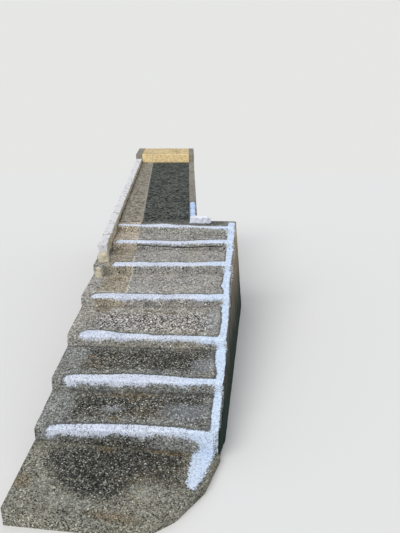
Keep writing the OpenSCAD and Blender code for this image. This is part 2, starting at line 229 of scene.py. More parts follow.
def weathered(name, stones, skin, grit_mm, pale, skin_grain=0.5):
    """Old poured concrete: gravel where it is washed, a finer skin elsewhere, and the
    white masonry paint of the stripes, thin, ragged in front and rubbed off the grains."""
    material, tree = unfinished(name)
    place = node(tree, "TexCoord").outputs["Object"]
    paint, ahead, foot, field, stain, patch, seam, crack = [
        node(tree, "Attribute", attribute_name=mark).outputs["Fac"]
        for mark in ("paint", "ahead", "foot", "field", "stain", "patch", "seam", "crack")]
    # clouds a hand across, drifts of 300 mm, ragged edges of about 20 mm, flecks of 8 mm,
    # sand of 3 mm
    cloud, drift, ragged, flecks, sand = [
        node(tree, "TexNoise", {"Vector": place, "Scale": scale, "Detail": detail, "Roughness": r})
        for scale, detail, r in ((8, 7, 0.68), (3.4, 5, 0.6), (42, 5, 0.7), (125, 3, 0.7),
                                 (300, 2, 0.7))]
    stray = node(tree, "TexNoise", {"Vector": place, "Scale": 90, "Detail": 2})
    bent = node(tree, "VectorMath", {0: stray.outputs["Color"], 1: (0.009,) * 3, 2: place},
                operation="MULTIPLY_ADD")
    # gravel: one tone to each stone, set in darker mortar
    gravel = node(tree, "TexVoronoi", {"Vector": bent, "Scale": 1000 / grit_mm})
    tone = node(tree, "SeparateColor", {"Color": gravel.outputs["Color"]}).outputs["Red"]
    stone = node(tree, "ValToRGB", {"Fac": tone}, stops=stones)
    gap = node(tree, "MapRange", {"Value": gravel.outputs["Distance"], "From Min": 0.34,
                                  "From Max": 0.66})
    mortar = node(tree, "Mix", {"Factor": 0.62, "A": stone, "B": stones[0][1]},
                  data_type="RGBA")
    bedded = node(tree, "Mix", {"Factor": gap, "A": stone, "B": mortar}, data_type="RGBA")
    # the skin is the same mix with its cement still on, so the stones only tint it
    grain = node(tree, "MapRange", {"Value": tone, "To Min": 1 - skin_grain,
                                    "To Max": 1 + skin_grain})
    sandy = node(tree, "MapRange", {"Value": sand, "From Min": 0.3, "From Max": 0.7,
                                    "To Min": 0.72, "To Max": 1.28})
    # black pits and pale grains, each as wide as a stone or a little wider
    pepper = node(tree, "TexVoronoi", {"Vector": bent, "Scale": 600 / grit_mm})
    which = node(tree, "SeparateColor", {"Color": pepper.outputs["Color"]}).outputs["Green"]
    dot = node(tree, "MapRange", {"Value": pepper.outputs["Distance"], "From Min": 0.46,
                                  "From Max": 0.34})
    dotted = node(tree, "MapRange", {"Value": which, "From Min": 0.1, "From Max": 0.95,
                                     "To Min": 0.1, "To Max": 1.9})
    peppered = node(tree, "Mix", {"Factor": dot, "A": 1.0, "B": dotted}, data_type="FLOAT")
    seamed = node(tree, "MapRange", {"Value": gap, "To Min": 1.08, "To Max": 0.66})
    speckle = grain
    for share in (sandy, seamed, peppered):
        speckle = node(tree, "Math", {0: speckle, 1: share}, operation="MULTIPLY")
    fine = node(tree, "Mix", {"Factor": 1.0, "A": skin, "B": speckle}, data_type="RGBA",
                blend_type="MULTIPLY")
    washed = node(tree, "Mix", {"Factor": 1.0, "A": bedded, "B": peppered}, data_type="RGBA",
                  blend_type="MULTIPLY")
    shaken = node(tree, "Math", {0: ragged, 1: 0.16, 2: field}, operation="MULTIPLY_ADD")
    bare = node(tree, "MapRange", {"Value": shaken, "From Min": 0.05, "From Max": 0.125})
    body = node(tree, "Mix", {"Factor": bare, "A": fine, "B": washed}, data_type="RGBA")
    # patches where cement slurry was left lying
    slurried = node(tree, "Math", {0: ragged, 1: 2.2, 2: patch}, operation="MULTIPLY_ADD")
    slurry = node(tree, "MapRange", {"Value": slurried, "From Min": 1.05, "From Max": 1.6,
                                     "To Max": 0.64})
    trowelled = node(tree, "Mix", {"Factor": 0.36, "A": speckle, "B": 1.0}, data_type="FLOAT")
    spread = node(tree, "Mix", {"Factor": 1.0, "A": pale, "B": trowelled}, data_type="RGBA",
                  blend_type="MULTIPLY")
    patched = node(tree, "Mix", {"Factor": slurry, "A": body, "B": spread}, data_type="RGBA")
    shade = node(tree, "MapRange", {"Value": cloud, "From Min": 0.25, "From Max": 0.75,
                                    "To Min": 0.72, "To Max": 1.28})
    bleached = node(tree, "MapRange", {"Value": drift, "From Min": 0.3, "From Max": 0.7,
                                       "To Min": 0.84, "To Max": 1.16})
    shades = node(tree, "Math", {0: shade, 1: bleached}, operation="MULTIPLY")
    clouded = node(tree, "Mix", {"Factor": 1.0, "A": patched, "B": shades}, data_type="RGBA",
                   blend_type="MULTIPLY")
    # brown stains, brown dust near a riser's foot, and a dark band right in the corner there
    crumbs = node(tree, "Math", {0: flecks, 1: 1.6, 2: stain}, operation="MULTIPLY_ADD")
    blown_in = node(tree, "MapRange", {"Value": foot, "From Min": 0.012, "From Max": 0.09,
                                       "To Min": 0.42, "To Max": 0.0})
    caught = node(tree, "Math", {0: crumbs, 1: blown_in}, operation="ADD")
    steeped = node(tree, "Math", {0: ragged, 1: 0.9, 2: caught}, operation="MULTIPLY_ADD")
    brown = node(tree, "MapRange", {"Value": steeped, "From Min": 1.25, "From Max": 1.75,
                                    "To Max": 0.6})
    umber = node(tree, "Mix", {"Factor": 1.0, "A": "#76674f", "B": speckle}, data_type="RGBA",
                 blend_type="MULTIPLY")
    swept = node(tree, "Math", {0: ragged, 1: -0.05, 2: foot}, operation="MULTIPLY_ADD")
    foot_corner_dark = node(tree, "MapRange", {"Value": swept, "From Min": -0.022, "From Max": 0.006,
                                   "To Min": 0.72, "To Max": 0.0})
    # brown and olive dust, caught in patches by the rough skin
    drifted = node(tree, "Math", {0: drift, 1: 0.7, 2: stray.outputs["Fac"]},
                   operation="MULTIPLY_ADD")
    dusty = node(tree, "MapRange", {"Value": drifted, "From Min": 0.88, "From Max": 1.05,
                                    "To Max": 0.5})
    # a dark line close behind each stripe, and the black of an open crack
    beside = node(tree, "MapRange", {"Value": paint, "From Min": -0.022, "From Max": -0.006,
                                     "To Max": 0.66})
    upper = node(tree, "MapRange", {"Value": ahead, "From Min": 0.0, "From Max": 0.02})
    darkening = node(tree, "Math", {0: beside, 1: upper}, operation="MULTIPLY")
    split = node(tree, "MapRange", {"Value": crack, "From Min": -0.003, "From Max": 0.001,
                                    "To Max": 0.85})
    # the seam of the side strip: a bead of pale slurry, broken here and there
    beaded = node(tree, "Math", {0: ragged, 1: -0.03, 2: seam}, operation="MULTIPLY_ADD")
    bead = node(tree, "MapRange", {"Value": beaded, "From Min": -0.012, "From Max": -0.008,
                                   "To Min": 0.7, "To Max": 0.0})
    # those layers, each over the last
    ground = clouded
    for share, layer in ((brown, umber), (foot_corner_dark, "#3d3a33"), (dusty, "#7b6f52"),
                         (darkening, "#424544"), (split, "#211f1c"), (bead, "#cfccbf")):
        ground = node(tree, "Mix", {"Factor": share, "A": ground, "B": layer},
                      data_type="RGBA")
    # masonry paint: crisp behind, ragged down the riser, rubbed through on the grains; the
    # coat along the right edge is thicker and painted bluer as shade, and was brushed out over the
    # stripes' ends
    wave = node(tree, "MapRange", {"Value": ahead, "From Min": -0.02, "From Max": 0.03,
                                   "To Min": 0.056, "To Max": 0.018})
    broken = node(tree, "MapRange", {"Value": ahead, "From Min": -0.015, "From Max": 0.03,
                                     "To Min": 0.105, "To Max": 0.026})
    centred = node(tree, "Math", {0: ragged, 1: 0.5}, operation="SUBTRACT")
    wavy = node(tree, "Math", {0: centred, 1: wave, 2: paint}, operation="MULTIPLY_ADD")
    flecked = node(tree, "Math", {0: flecks, 1: 0.5}, operation="SUBTRACT")
    torn = node(tree, "Math", {0: flecked, 1: broken, 2: wavy}, operation="MULTIPLY_ADD")
    coat = node(tree, "MapRange", {"Value": torn, "From Min": -0.001, "From Max": 0.0025})
    rubbed = node(tree, "MapRange", {"Value": ahead, "From Min": -0.02, "From Max": 0.03,
                                     "To Min": 0.4, "To Max": 0.385})
    aside = node(tree, "SeparateXYZ", {"Vector": place}).outputs["X"]
    thicker_coat_and_painted_shade = node(tree, "MapRange", {"Value": aside, "From Min": 0.45, "From Max": 0.8,
                                    "To Max": 0.7})
    thicker = node(tree, "Math", {0: thicker_coat_and_painted_shade, 1: -0.15, 2: rubbed}, operation="MULTIPLY_ADD")
    trodden = node(tree, "MapRange", {"Value": drift, "From Min": 0.35, "From Max": 0.65,
                                      "To Min": -0.045, "To Max": 0.055})
    worn = node(tree, "Math", {0: thicker, 1: trodden}, operation="ADD")
    kept = node(tree, "Math", {0: flecks, 1: worn}, operation="SUBTRACT")
    whole = node(tree, "MapRange", {"Value": kept, "From Min": -0.01, "From Max": 0.02})
    white = node(tree, "Math", {0: coat, 1: whole}, operation="MULTIPLY")
    chalk = node(tree, "Mix", {"Factor": cloud, "A": "#bfcbdf", "B": "#eef2fa"},
                 data_type="RGBA")
    # bluer towards the right edge: painted shade
    shade_tinted_chalk = node(tree, "Mix", {"Factor": thicker_coat_and_painted_shade, "A": chalk, "B": "#d2e6fb"}, data_type="RGBA")
    rubbing = node(tree, "MapRange", {"Value": speckle, "From Min": 0.2, "From Max": 0.9,
                                      "To Min": 0.62, "To Max": 1.0})
    dull = node(tree, "Mix", {"Factor": 1.0, "A": shade_tinted_chalk, "B": rubbing}, data_type="RGBA",
                blend_type="MULTIPLY")
    colour = node(tree, "Mix", {"Factor": white, "A": ground, "B": dull}, data_type="RGBA")
    rough = node(tree, "MapRange", {"Value": white, "To Min": 0.95, "To Max": 0.75})
    # stones stand a little proud, and the paint fills the finest pores
    sunk_in = node(tree, "Math", {0: gap, 1: bare}, operation="MULTIPLY")
    relief = node(tree, "Math", {0: sunk_in, 1: -0.8, 2: sand}, operation="MULTIPLY_ADD")
    bump = node(tree, "Bump", {"Height": relief, "Strength": 0.5, "Distance": 0.002})
    shader = node(tree, "BsdfPrincipled", {"Base Color": colour, "Roughness": rough,
                                           "Specular IOR Level": 0.2, "Normal": bump})
    node(tree, "OutputMaterial", {"Surface": shader})
    return material


# the stripe on the lowest nosing, hooked at its right end down the riser onto the apron:
# millimetres left of the right edge, and behind the arris or, negative, down the riser
hooked_stripe = [(-900, 26), (-850, 36), (-700, 43), (-480, 44), (-330, 36), (-250, 33),
                 (-175, 24), (-100, 8), (-58, 3), (-14, 3), (-14, -8), (-24, -30), (-28, -80),
                 (-30, -125), (-36, -150), (-54, -215), (-66, -260), (-80, -304), (-98, -336),
                 (-116, -366), (-138, -350), (-148, -310), (-147, -220), (-143, -136),
                 (-125, -122), (-106, -105), (-100, -88), (-112, -70), (-140, -58), (-175, -44),
                 (-215, -36), (-260, -28), (-330, -25), (-400, -44), (-480, -28), (-550, -22),
                 (-625, -42), (-700, -40), (-780, -38), (-850, -34), (-880, -52), (-906, -50),
                 (-906, -20)]
# washed middle of the apron, and its brown stains, in plan from the right end, millimetres
apron_washed = [(-890, -100), (-620, -40), (-168, 0), (-135, -240), (-247, -240),
                (-320, -246), (-395, -306), (-458, -362), (-592, -378), (-749, -316),
                (-852, -212)]
apron_stains = [(-270, -42, 115, 14), (-590, -74, 50, 16), (-900, -330, 80, 50),
                (-420, -440, 160, 30)]
apron_pale = [(-328, -292, 85, 48), (-660, -400, 150, 34), (-820, -330, 80, 40)]


def apron_marks(points, facing, middle):
    """The apron's marks. Its band is as crisp at the edges as a stripe is on a tread, which
    begins at the distance crisp behind the arris."""
    crisp, clean_foot = 0.008, 0.018
    x, y = points[:, 0] - right_end.x, points[:, 1] - right_end.y
    ahead = behind(points, 0) - first_riser
    paint = np.where(facing[:, 2] > underside, inside(x, ahead, hooked_stripe), -1.0)
    field = np.minimum(inside(x, y, apron_washed), -paint - 0.01)
    far_off = np.full(len(points), 1.0)
    return {"paint": paint, "ahead": crisp * far_off, "foot": clean_foot - behind(points, 0),
            "field": field, "stain": spots(x, y, apron_stains),
            "patch": spots(x, y, apron_pale), "rim": far_off, "seam": far_off,
            "crack": -far_off}


# washed concrete: dark river gravel of about 6 mm in grey mortar, blackened by damp
damp_gravel = [(0.0, "#131413"), (0.5, "#43443f"), (0.86, "#81827a"), (1.0, "#cbc9bc")]
apron_concrete = weathered("washed_gravel_concrete", damp_gravel, "#87867a", 6, "#94958b", 0.7)
right, upflight = across(0)
bm = sliced("foot_apron", lambda n, c: n.z > 0.5, [(right, 0.008), (upflight, 0.008)])
laid("foot_apron_worn", bm, [apron_concrete], apron_marks, chip=0)

# Treads: each one poured behind a board, so its nosing is a rough arris. The two lowest
# are washed to the gravel inside a smoother mortar border, the third is paler, and the
# upper ones are floated. White stripes are painted over the nosings and down the edge.

# the stripe on each nosing, in the measures of the lowest one
stripes = [
    hooked_stripe,
    [(-932, 38), (-850, 47), (-700, 53), (-600, 64), (-500, 65), (-400, 60), (-300, 56),
     (-200, 44), (-40, 42), (-40, -12), (-100, -6), (-175, -18), (-240, -32), (-330, -18),
     (-400, -10), (-480, -34), (-560, -32), (-620, -44), (-700, -28), (-780, -36),
     (-815, -22), (-850, -24), (-868, -44), (-925, -46), (-934, -10)],
    [(-985, 40), (-960, 66), (-890, 78), (-820, 72), (-740, 56), (-650, 45), (-550, 45),
     (-480, 30), (-400, 38), (-300, 36), (-175, 36), (-40, 30), (-40, -38), (-100, -38),
     (-175, -32), (-215, -20), (-330, -18), (-400, -30), (-480, -16), (-560, -20),
     (-620, -20), (-700, -34), (-760, -22), (-850, -26), (-930, -28), (-978, -12)],
    [(-1044, 22), (-1024, 62), (-930, 72), (-780, 66), (-600, 64), (-480, 50), (-400, 64),
     (-250, 66), (-175, 54), (-100, 66), (-40, 66), (-40, -20), (-175, -24), (-250, -27),
     (-330, -15), (-400, -12), (-480, -18), (-600, -20), (-700, -18), (-780, -26),
     (-850, -22), (-890, -10), (-930, -5), (-1022, -6)],
    [(-1015, 80), (-850, 76), (-780, 82), (-700, 62), (-600, 72), (-480, 73), (-400, 62),
     (-250, 70), (-175, 84), (-40, 88), (-40, -10), (-175, -4), (-250, -4), (-330, -11),
     (-480, -14), (-600, -10), (-780, -11), (-930, -6), (-1018, -5)],
    [(-1105, 60), (-1000, 66), (-930, 64), (-850, 60), (-700, 49), (-550, 34), (-480, 40),
     (-400, 54), (-330, 64), (-250, 74), (-175, 86), (-40, 86), (-40, -4), (-175, -10),
     (-330, -15), (-400, -13), (-480, -27), (-560, -27), (-700, -20), (-850, -15),
     (-1000, -13), (-1108, -10)],
    [(-1180, 44), (-1100, 50), (-1000, 44), (-930, 30), (-850, 50), (-780, 66), (-700, 78),
     (-630, 66), (-550, 50), (-480, 52), (-400, 30), (-330, 32), (-175, 34), (-40, 42),
     (-40, -16), (-175, -20), (-300, -8), (-400, -4), (-480, -12), (-630, -16), (-780, -17),
     (-930, -15), (-1000, -5), (-1183, -4)]]
# the line along the right edge, in plan: it stops on the landing
edge_line = [(-12, 0), (-10, 280), (-3, 300), (0, 450), (-8, 620), (-3, 800), (-8, 1050),
             (-18, 1350), (-16, 1600), (-12, 1850), (-6, 2000), (-7, 2262), (-30, 2276),
             (-66, 2270), (-74, 2200), (-72, 2000), (-70, 1800), (-64, 1600), (-72, 1500),
             (-72, 1350), (-82, 1280), (-56, 1200), (-54, 1120), (-60, 1010), (-49, 890),
             (-51, 700), (-72, 590), (-65, 480), (-50, 400), (-48, 310), (-56, 250),
             (-60, 140), (-53, 60), (-56, 2)]
# the slurry seam of the side strip, as one side of a wide outline, in plan
seam_line = [(-800, 1073), (-880, 1648), (-2000, 1648), (-2000, 1073)]
# the crack under the sixth stripe, on the riser: its upper and its lower lip
open_crack = [(-911, -30), (-727, -38), (-546, -47), (-399, -49), (-251, -38), (-82, -42),
              (-82, -47), (-251, -44), (-399, -56), (-546, -54), (-727, -43), (-911, -33)]
# brown stains and pale patches of each tread: millimetres left, behind, and half sizes
stains = [[(-575, 82, 46, 26), (-550, 266, 180, 16), (-512, 228, 30, 18)],
          [(-700, 48, 150, 30), (-850, 230, 36, 22)],
          [(-560, 352, 60, 26), (-420, 330, 90, 24), (-930, 350, 60, 50)], [(-950, 330, 60, 60)],
          [(-1040, 260, 50, 50)], [], [(-1140, 150, 50, 60)]]
patches = [[(-200, 140, 165, 78), (-610, 158, 92, 30)], [(-130, 158, 95, 88)],
           [(-115, 240, 60, 210)], [], [], [], []]


def marks_of(points, facing, middle, k, washed):
    """The marks of tread k and its riser: how far inside the paint and the washed field a
    point lies, how far behind the arris and off the riser's foot, and its stains. The
    field keeps off edges, and a strip of skin parts it from the paint."""
    x, y = points[:, 0] - right_end.x, points[:, 1] - right_end.y
    back = behind(points, k)
    ahead = back + np.minimum(above(points, k), 0)
    paint = np.maximum(inside(x, ahead, stripes[k]), inside(x, y, edge_line))
    paint = np.where(facing[:, 2] > underside, paint, -1.0)
    riser = facing @ np.array(across(k)[1]) < -0.6
    ahead_next = -behind(points, k + 1) if k < 6 else np.full(len(points), 1.0)
    height = above(points, k - 1) if k else ahead + first_riser
    # less dust and a narrower dark band at the riser's foot the higher the tread
    swept = (0.01, 0.01, 0.022, 0.024, 0.04)[min(k, 4)]
    foot = np.where(riser, height, ahead_next) + swept
    left = x + foot_width + y * math.tan(left_turn)
    skin = 0.012 if k == 6 else 0.035
    field = np.minimum.reduce([-paint - skin, ahead_next - 0.005, left - 0.05, -x - 0.08])
    # the third tread keeps its skin along the back
    field = np.minimum(field, 0.33 - back) if k == 2 else field
    # only the left half of the lowest riser is washed
    half = -0.36
    bare_riser = np.minimum.reduce([-paint - 0.012, half - x, left - 0.03]) if k == 0 else -0.06
    field = np.where(riser, bare_riser, field) if washed else np.full(len(points), -0.2)
    seam = np.abs(inside(x, y, seam_line)) if k in (3, 4) else np.full(len(points), 1.0)
    crack = inside(x, ahead, open_crack) if k == 5 else np.full(len(points), -1.0)
    return {"paint": paint, "ahead": ahead, "foot": foot, "field": field,
            "stain": spots(x, back, stains[k]), "patch": spots(x, back, patches[k]),
            "rim": np.abs(ahead), "seam": seam, "crack": crack}


# two lowest treads: washed down to dark river gravel of about 7 mm
dark_gravel = [(0.0, "#161716"), (0.5, "#454642"), (0.84, "#86867e"), (1.0, "#d6d4c8")]
# third tread: washed too, but its gravel is pale, its mortar warmer, and drawn at 9 mm so
# that the stones show
pale_gravel = [(0.0, "#151413"), (0.3, "#716e69"), (0.64, "#c6c2bb"), (1.0, "#fffcf6")]
# floated treads: fine grit, hardly any tone from stone to stone
fine_grit = [(0.0, "#6c6a66"), (0.5, "#8f8d88"), (1.0, "#b2afa8")]
# landing: floated in front, worn dark behind its stripe
worn_grit = [(0.0, "#3b3d3c"), (0.5, "#5c5e5c"), (1.0, "#84857f")]
lower_concrete = weathered("washed_tread_concrete", dark_gravel, "#8d8f8b", 7, "#94989a", 0.64)
middle_concrete = weathered("pale_washed_tread_concrete", pale_gravel, "#a2a097", 9, "#959a9a")
upper_concrete = weathered("floated_tread_concrete", fine_grit, "#a5a39d", 10, "#a3a19b", 0.42)
top_concrete = weathered("trodden_tread_concrete", fine_grit, "#a09e98", 12, "#a3a19b", 0.42)
landing_concrete = weathered("worn_landing_concrete", worn_grit, "#acaca4", 9, "#77786f", 0.4)
tread_concretes = [lower_concrete, lower_concrete, middle_concrete, upper_concrete,
                   upper_concrete, top_concrete, landing_concrete]
tread_nodes = ["step_1", "step_2", "step_3", "step_4", "step_5", "step_6", "landing"]
# treads washed to their gravel, by nosing, and the net of planes that cuts a tread up
washed_treads = (0, 1, 2, 6)
tread_net = 0.008
for k, name in enumerate(tread_nodes):
    right, upflight = across(k)
    # the sixth riser is cut up finer, for its crack
    riser_net = tread_net / 2 if k == 5 else tread_net
    bm = sliced(name, lambda n, c: n.z > 0.3 or n.dot(upflight) < -0.5,
                [(right, tread_net), (upflight, tread_net), (upward, riser_net)])
    laid(name + "_worn", bm, [tread_concretes[k]],
         lambda p, f, m: marks_of(p, f, m, k, k in washed_treads))

# Side strip: a later, yellower pour along the left of the upper treads and the landing,
# parted from them by a thin line of cement slurry. The stripes run over it.

pebble_grit = [(0.0, "#6c665a"), (0.5, "#918a7c"), (1.0, "#b6ad9b")]
strip_concrete = weathered("yellowish_strip_concrete", pebble_grit, "#a59d8c", 9, "#a59d8c", 0.42)
top_strip = weathered("bleached_strip_concrete", pebble_grit, "#c2b7a5", 10, "#a59d8c", 0.36)
for k, name in enumerate(["side_strip_4", "side_strip_5", "side_strip_6", "landing_strip"], 3):
    right, upflight = across(k)
    bm = sliced(name, lambda n, c: n.z > 0.3 or n.dot(upflight) < -0.5,
                [(right, tread_net), (upflight, tread_net), (upward, tread_net)])
    laid(name + "_worn", bm, [strip_concrete if k < 5 else top_strip],
         lambda p, f, m: marks_of(p, f, m, k, False))

# Side walls: cast against boards on both sides of the flight, beside the walk and behind.
# Their tops carry on the treads' surface; their faces are streaked dark by rain, and the
# foot is greenish black, partly damp and partly painted shade. The right-hand one
# leans out to its foot.


def tread_under(middle):
    """The tread that each face belongs to: the last nosing that it is not in front of."""
    return np.max([np.where(behind(middle, k) > -0.002, k, 0) for k in range(7)], axis=0)


def wall_marks(points, facing, middle):
    """A wall's top has the marks of the treads beside it, its faces none."""
    under = tread_under(middle)
    values = [marks_of(points, facing, middle, k, k in washed_treads) for k in range(7)]
    made = {mark: np.choose(under, [v[mark] for v in values]) for mark in values[0]}
    side = np.abs(facing[:, 0]) > 0.7
    brink = np.abs(points[:, 0] - right_end.x)
    made["rim"] = np.where(side, brink, np.minimum(made["rim"], brink))
    made["foot"] = np.where(side, 1.0, made["foot"])
    return made


def cast_wall(name, high, middle, low, top, runs):
    """Board-cast wall concrete: faint marks of boards 150 mm high, sand drawn at 11 mm so
    that it shows, blow holes, rain streaks, and a damp dark foot, on the flank partly painted
    shade. The wall is top metres high, and its streaks take up to the share runs of its tone."""
    board_height = 0.15
    material, tree = unfinished(name)
    place = node(tree, "TexCoord").outputs["Object"]
    cloud = node(tree, "TexNoise", {"Vector": place, "Scale": 3.2, "Detail": 8, "Roughness": 0.66})
    sand = node(tree, "TexNoise", {"Vector": place, "Scale": 90, "Detail": 5, "Roughness": 0.75})
    height = node(tree, "SeparateXYZ", {"Vector": place}).outputs["Z"]
    wander = node(tree, "Math", {0: cloud, 1: 0.5 * top, 2: height}, operation="MULTIPLY_ADD")
    level = node(tree, "MapRange", {"Value": wander, "From Min": 0.32 * top,
                                    "From Max": 1.25 * top})
    # darker towards the foot; on the flank this is partly damp and partly painted shade
    darkening = node(tree, "ValToRGB", {"Fac": level},
                stops=[(0.12, low), (0.46, middle), (0.92, high)])
    # each board left its own tone and a fine line at its joint
    warped = node(tree, "Math", {0: cloud, 1: 0.012, 2: height}, operation="MULTIPLY_ADD")
    board = node(tree, "Math", {0: warped, 1: board_height}, operation="DIVIDE")
    number = node(tree, "Math", {0: board}, operation="FLOOR")
    own = node(tree, "TexWhiteNoise", {"W": number}, noise_dimensions="1D")
    tone = node(tree, "MapRange", {"Value": own.outputs["Value"], "To Min": 0.92, "To Max": 1.08})
    off_joint = node(tree, "Math", {0: board, 1: 0.5}, operation="PINGPONG")
    joint = node(tree, "MapRange", {"Value": off_joint, "From Min": 0.01, "From Max": 0.035,
                                    "To Min": 0.74})
    # blow holes of 5 mm in a few of the cells, drawn at 10 mm so that they show
    cell = node(tree, "TexVoronoi", {"Vector": place, "Scale": 42})
    chosen = node(tree, "SeparateColor", {"Color": cell.outputs["Color"]}).outputs["Red"]
    few = node(tree, "MapRange", {"Value": chosen, "From Min": 0.62, "From Max": 0.66})
    round_hole = node(tree, "MapRange", {"Value": cell.outputs["Distance"], "From Min": 0.26,
                                         "From Max": 0.16})
    hole = node(tree, "Math", {0: few, 1: round_hole}, operation="MULTIPLY")
    holed = node(tree, "MapRange", {"Value": hole, "To Min": 1.0, "To Max": 0.45})
    sandy = node(tree, "MapRange", {"Value": sand, "From Min": 0.3, "From Max": 0.7,
                                    "To Min": 0.66, "To Max": 1.34})
    patchy = node(tree, "MapRange", {"Value": cloud, "From Min": 0.3, "From Max": 0.7,
                                     "To Min": 0.82, "To Max": 1.18})
    # streaks: some 40 mm wide and ten times as tall, and only here and there
    tall = node(tree, "Mapping", {"Vector": place, "Scale": (1, 1, 0.1)})
    streak = node(tree, "TexNoise", {"Vector": tall, "Scale": 24, "Detail": 4, "Roughness": 0.6})
    washes = node(tree, "TexNoise", {"Vector": place, "Scale": 1.7, "Detail": 2})
    where = node(tree, "MapRange", {"Value": washes, "From Min": 0.42, "From Max": 0.62,
                                    "To Min": 0.25})
    run = node(tree, "MapRange", {"Value": streak, "From Min": 0.36, "From Max": 0.64,
                                  "To Min": 1 - runs, "To Max": 1 + 0.7 * runs})
    streaked = node(tree, "Mix", {"Factor": where, "A": 1.0, "B": run}, data_type="FLOAT")
    strength = tone
    for share in (joint, holed, sandy, patchy, streaked):
        strength = node(tree, "Math", {0: strength, 1: share}, operation="MULTIPLY")
    colour = node(tree, "Mix", {"Factor": 1.0, "A": darkening, "B": strength}, data_type="RGBA",
                  blend_type="MULTIPLY")
    pitted = node(tree, "Math", {0: hole, 1: -1.5, 2: sand}, operation="MULTIPLY_ADD")
    bump = node(tree, "Bump", {"Height": pitted, "Strength": 0.6, "Distance": 0.003})
    shader = node(tree, "BsdfPrincipled", {"Base Color": colour, "Roughness": 0.95,
                                           "Specular IOR Level": 0.2, "Normal": bump})
    node(tree, "OutputMaterial", {"Surface": shader})
    return material


# the flank: its greenish-black foot is partly damp and partly painted shade
flank_concrete = cast_wall("rain_streaked_cast_concrete", "#c2ad8b", "#6a6356", "#1a2c23", 0.9, 0.6)
wall_concrete = cast_wall("weathered_cast_concrete", "#8b867a", "#77736a", "#4d4e46", 1.5, 0.3)
for name, concrete, inner in (("flank_wall", flank_concrete, -1),
                              ("left_wall", wall_concrete, 1)):
    bm = sliced(name, lambda n, c: n.z > underside and n.x * inner < 0.7,
                [(Vector((1, 0, 0)), 0.012), (Vector((0, 1, 0)), 0.016), (upward, 0.016)])
    if name == "flank_wall":
        # the face leans less and less over the last 150 mm before its rounded front corner
        corner_radius, fade_length = 0.035, 0.15
        for v in bm.verts:
            share = (v.co.y - right_end.y - corner_radius) / fade_length
            if v.co.x > right_end.x and share < 1:
                proud = (v.co.x - right_end.x) * max(share, 0) ** 2 * (3 - 2 * max(share, 0))
                v.co.x = right_end.x + proud
        bmesh.ops.dissolve_degenerate(bm, edges=bm.edges[:], dist=sliver)
        bm.normal_update()
    under = tread_under(np.array([f.calc_center_median() for f in bm.faces]))
    for face, k in zip(bm.faces, under):
        cast = abs(face.normal.x) > 0.7 or face.normal.z < underside
        face.material_index = 0 if cast else 1 + k
    laid(name + "_worn", bm, [concrete] + tread_concretes, wall_marks)

# the walk's frame: where its right edge meets the rear edge of the landing, and its turn
walk_start = right_end + Vector((-0.4756, 2.3250, 0))
walk_right = Vector((math.cos(left_turn), math.sin(left_turn), 0))
walk_up = Vector((-math.sin(left_turn), math.cos(left_turn), 0))
for name, hidden in (("walk_left_wall", walk_right), ("walk_right_wall", -walk_right),
                     ("rear_wall", -walk_up), ("landing_end_wall", -Vector((0, 1, 0)))):
    bm = sliced(name, lambda n, c: n.z > underside and n.dot(hidden) < 0.7,
                [(along, 0.024) for along in (walk_right, walk_up, upward)])
    laid(name + "_worn", bm, [wall_concrete], swell=0.004)

# the lean concrete inside shows only on the flat underside
for name in ("fill_core", "walk_fill"):
    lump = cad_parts[name]
    lump.data.materials.clear()
    lump.data.materials.append(wall_concrete)

# Walk: a sloping slab of darker concrete, dragged crosswise with a stiff brush, with the
# yellowish strip along its left side, up to one upper step in painted sunlight, warm and pale.


def brushed_walk(name, low, high, lines, speckle):
    """Brushed concrete: fine cross ridges some 6 mm apart, drawn 14 mm apart to show, and
    grit of about 6 mm, drawn as 20 mm."""
    material, tree = unfinished(name)
    place = node(tree, "TexCoord").outputs["Object"]
    laid_out = node(tree, "Mapping", {"Vector": place, "Rotation": (0, 0, -left_turn)})
    drawn = node(tree, "Mapping", {"Vector": laid_out, "Scale": (0.09, 1, 1)})
    ridge = node(tree, "TexNoise", {"Vector": drawn, "Scale": 70, "Detail": 3, "Roughness": 0.6})
    cloud = node(tree, "TexNoise", {"Vector": place, "Scale": 5, "Detail": 6, "Roughness": 0.6})
    sand = node(tree, "TexNoise", {"Vector": place, "Scale": 170, "Detail": 3, "Roughness": 0.7})
    tint = node(tree, "Mix", {"Factor": cloud, "A": low, "B": high}, data_type="RGBA")
    ridged = node(tree, "MapRange", {"Value": ridge, "From Min": 0.3, "From Max": 0.7,
                                     "To Min": 1 - lines, "To Max": 1 + lines})
    lined = node(tree, "Mix", {"Factor": 1.0, "A": tint, "B": ridged}, data_type="RGBA",
                 blend_type="MULTIPLY")
    sandy = node(tree, "MapRange", {"Value": sand, "From Min": 0.3, "From Max": 0.7,
                                    "To Min": 1 - speckle, "To Max": 1 + speckle})
    grit = node(tree, "TexVoronoi", {"Vector": place, "Scale": 48})
    tone = node(tree, "SeparateColor", {"Color": grit.outputs["Color"]}).outputs["Red"]
    stony = node(tree, "MapRange", {"Value": tone, "To Min": 1 - 1.8 * speckle,
                                    "To Max": 1 + 1.8 * speckle})
    grainy = node(tree, "Math", {0: sandy, 1: stony}, operation="MULTIPLY")
    # a bead of slurry along the seam between the slab and its strip
    seam = node(tree, "Attribute", attribute_name="seam").outputs["Fac"]
    bead = node(tree, "MapRange", {"Value": seam, "From Min": 0.007, "From Max": 0.011,
                                   "To Min": 0.45, "To Max": 0.0})
    speckled = node(tree, "Mix", {"Factor": 1.0, "A": lined, "B": grainy}, data_type="RGBA",
                    blend_type="MULTIPLY")
    colour = node(tree, "Mix", {"Factor": bead, "A": speckled, "B": "#b5b1a4"},
                  data_type="RGBA")
    height = node(tree, "Math", {0: ridge, 1: 0.5, 2: sand}, operation="MULTIPLY_ADD")
    bump = node(tree, "Bump", {"Height": height, "Strength": 0.5, "Distance": 0.002})
    shader = node(tree, "BsdfPrincipled", {"Base Color": colour, "Roughness": 0.92,
                                           "Specular IOR Level": 0.2, "Normal": bump})
    node(tree, "OutputMaterial", {"Surface": shader})
    return material


